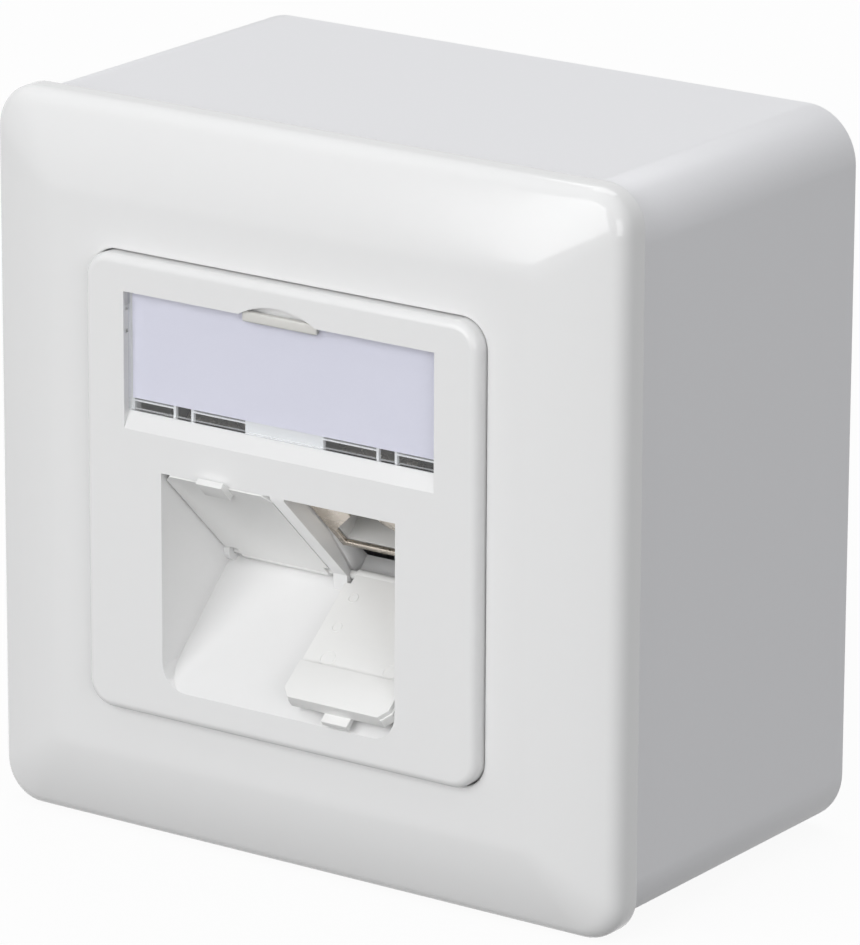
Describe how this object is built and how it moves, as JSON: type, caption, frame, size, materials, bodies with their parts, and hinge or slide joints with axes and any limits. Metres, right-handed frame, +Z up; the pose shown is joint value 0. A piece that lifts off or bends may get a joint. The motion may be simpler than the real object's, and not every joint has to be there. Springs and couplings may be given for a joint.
{
  "type": "surface mount jack box",
  "caption": "Square surface mount data outlet: back box, cover frame and centre plate with a label window and angled jack ports behind dust flaps.",
  "frame": {"origin": "centre of the back face that lies on the wall, which is also the centre of the wall screw pattern", "axes": "+Z up, +Y into the wall, so the ports face -Y, and +X to the right as seen from the front"},
  "size_m": [0.08, 0.0497, 0.08],
  "materials": {
    "gloss_white": "glossy white moulded shell",
    "satin_white": "satin white moulded box",
    "plate_white": "semi-gloss white moulded plate",
    "flap_white": "semi-gloss white moulded flap",
    "clear_cover": "clear moulded window",
    "label_card": "plain lilac-white card",
    "jack_nickel": "nickel-plated sheet metal",
    "jack_grey": "light grey moulded insert",
    "contact_gold": "gold-plated spring wire",
    "zinc_casting": "plain zinc die casting",
    "board_green": "circuit board with solder resist",
    "terminal_grey": "light moulded terminal block",
    "blade_tin": "tin-plated blades",
    "plate_steel": "bright zinc-plated sheet steel",
    "screw_steel": "zinc-plated screw"
  },
  "bodies": {
    "outlet": {"surface_box": "satin_white", "cover_frame": "gloss_white", "centre_plate": "plate_white", "label_paper": "label_card", "label_cover": "clear_cover", "left_jack_shield": "jack_nickel", "left_jack_insert": "jack_grey", "left_jack_contacts": "contact_gold", "left_terminal_block": "terminal_grey", "left_terminal_blades": "blade_tin", "right_jack_shield": "jack_nickel", "right_jack_insert": "jack_grey", "right_jack_contacts": "contact_gold", "right_terminal_block": "terminal_grey", "right_terminal_blades": "blade_tin", "module_housing": "zinc_casting", "circuit_board": "board_green", "module_lid": "zinc_casting", "cable_clamp": "zinc_casting", "support_plate": "plate_steel", "support_screws": "screw_steel", "flange_screws": "screw_steel", "centre_plate_screws": "screw_steel", "lid_screws": "screw_steel", "clamp_screws": "screw_steel"},
    "left_flap": {"left_dust_flap": "flap_white"},
    "right_flap": {"right_dust_flap": "flap_white"}
  },
  "joints": [
    {"name": "left_flap_hinge", "type": "hinge", "parent": "outlet", "child": "left_flap", "pos_m": [-0.00795, -0.03635, -0.00894], "axis": [1, 0, 0], "range_deg": [0, 84]},
    {"name": "right_flap_hinge", "type": "hinge", "parent": "outlet", "child": "right_flap", "pos_m": [0.00795, -0.03635, -0.00894], "axis": [1, 0, 0], "range_deg": [-84, 0]}
  ]
}
